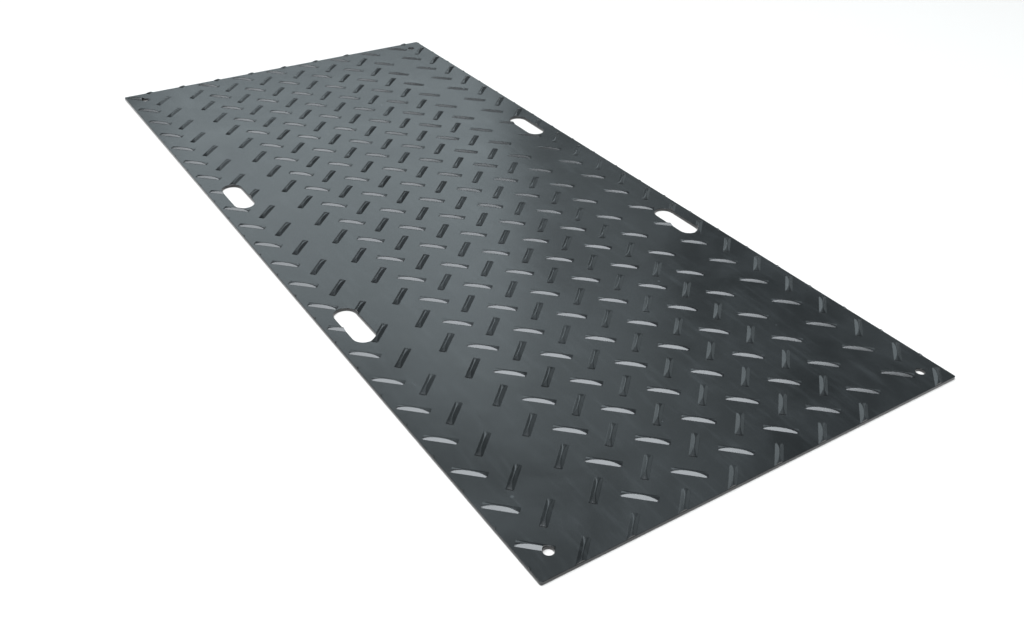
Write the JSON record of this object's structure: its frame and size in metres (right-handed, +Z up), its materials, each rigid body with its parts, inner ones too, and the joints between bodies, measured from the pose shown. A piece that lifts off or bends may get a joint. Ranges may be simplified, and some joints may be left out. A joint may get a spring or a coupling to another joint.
{
  "type": "ground protection mat",
  "caption": "Black moulded polyethylene ground protection mat with raised angled tread lugs, hand slots along the long sides and a pin hole in each corner.",
  "frame": {"origin": "centre of the flat underside, on the floor that the mat lies on", "axes": "+X along the length, +Y across the width, +Z up out of the tread side"},
  "size_m": [2.44, 1.1, 0.013],
  "materials": {
    "mat_plastic": "moulded black polyethylene, satin, lightly scuffed"
  },
  "bodies": {
    "root": {"mat": "mat_plastic"}
  },
  "joints": []
}
